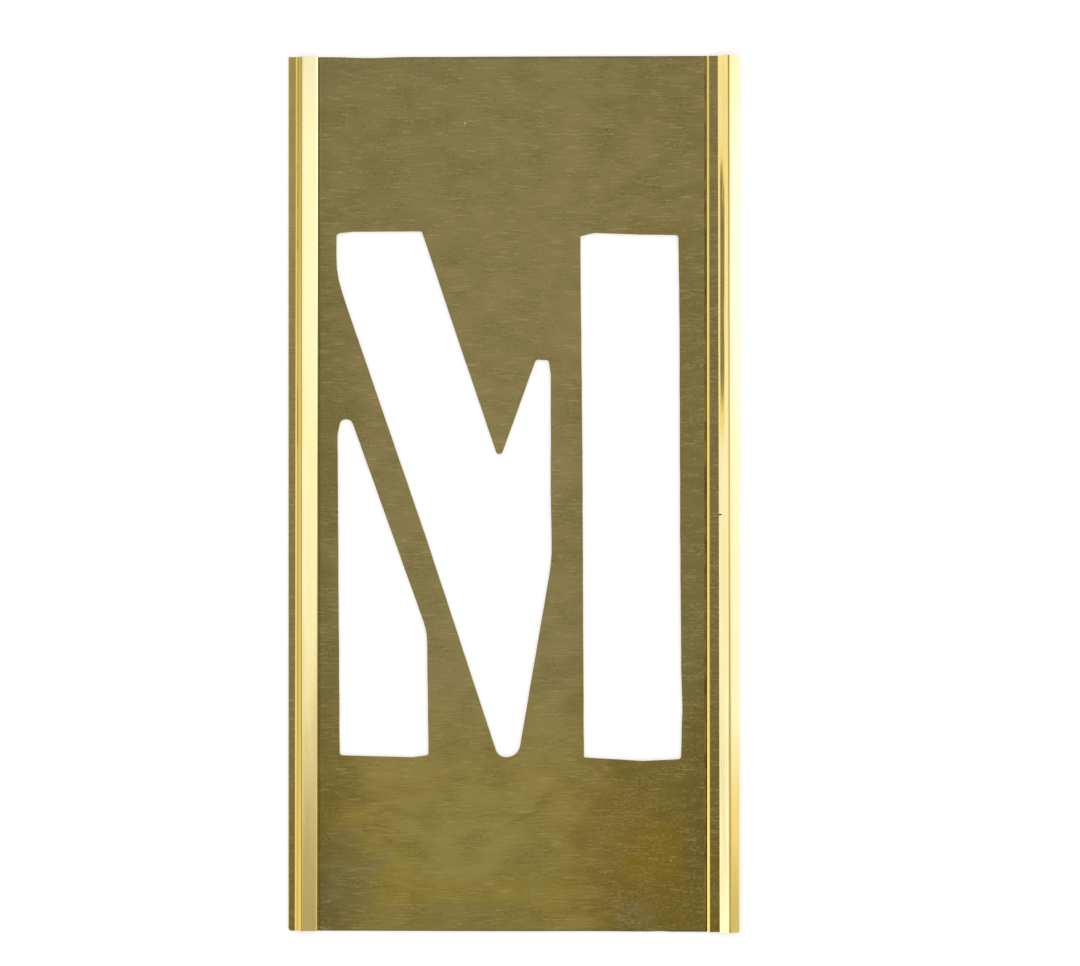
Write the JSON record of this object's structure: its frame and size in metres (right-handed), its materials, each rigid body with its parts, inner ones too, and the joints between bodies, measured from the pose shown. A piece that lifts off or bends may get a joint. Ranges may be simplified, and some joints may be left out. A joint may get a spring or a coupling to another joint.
{
  "type": "lettering stencil",
  "caption": "Thin brass letter stencil with a cut-out capital M and folded edge rails that slide into the rails of neighbouring stencils.",
  "frame": {"origin": "middle of the underside, in the plane of the rail strips' legs", "axes": "+X along the width towards the gabled rail, +Y towards the top of the letter, +Z out of the front face"},
  "size_m": [0.0654, 0.1272, 0.0021],
  "materials": {
    "plate_brass": "rolled sheet, tarnished to a dull olive, fine grain across the width",
    "rail_brass": "the same sheet, rubbed bright on the flanks and bends by sliding",
    "solder": "dull aged soft solder"
  },
  "bodies": {
    "root": {"stencil_plate": "plate_brass", "left_rail_leg": "rail_brass", "left_rail_nose": "rail_brass", "left_rail_flank": "rail_brass", "left_rail_lip": "rail_brass", "right_rail_leg": "rail_brass", "right_rail_joggle": "rail_brass", "right_rail_floor": "rail_brass", "right_gable_inner_flank": "rail_brass", "right_gable_outer_flank": "rail_brass", "right_rail_outer_wall": "rail_brass", "right_rail_under_lip": "rail_brass", "left_solder_seam": "solder", "right_solder_seam": "solder", "right_front_seam": "solder"}
  },
  "joints": []
}
